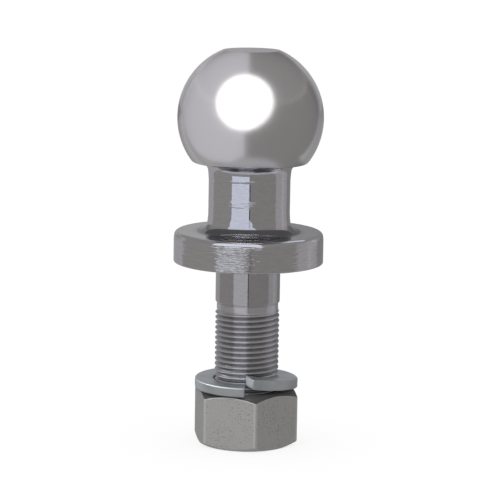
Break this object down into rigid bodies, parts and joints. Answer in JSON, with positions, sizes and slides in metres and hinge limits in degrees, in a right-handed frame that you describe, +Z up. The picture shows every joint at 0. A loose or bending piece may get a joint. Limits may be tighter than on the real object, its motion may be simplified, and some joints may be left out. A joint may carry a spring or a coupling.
{
  "type": "tow ball",
  "caption": "Chromed tow ball on a short neck and round flange, with a threaded shank below that carries a split spring washer and a hexagon nut.",
  "frame": {"origin": "on the shank's axis, in the plane of the flange's seat", "axes": "+Z up the shank's axis to the ball's crown, -Y to the viewer's side of the picture, where the washer's split is"},
  "size_m": [0.0515, 0.0514, 0.1361],
  "materials": {
    "chrome_forging": "bright chrome plate on a turned and polished forging",
    "washer_zinc": "bluish zinc plate, satin",
    "nut_zinc": "dull grey zinc plate, lightly pitted"
  },
  "bodies": {
    "ball": {"ball_and_shank": "chrome_forging"},
    "washer": {"spring_washer": "washer_zinc"},
    "nut": {"hex_nut": "nut_zinc"}
  },
  "joints": [
    {"name": "washer_slide", "type": "slide", "parent": "ball", "child": "washer", "axis": [0, 0, 1], "range_m": [-0.0191, 0.0276]},
    {"name": "nut_turn", "type": "hinge", "parent": "washer", "child": "nut", "pos_m": [0, 0, -0.05382], "axis": [0, 0, 1], "range_deg": [-3770, 5456]}
  ],
  "couplings": [
    {"joint": "washer_slide", "follows": "nut_turn", "m_per_rad": 0.00028875}
  ]
}
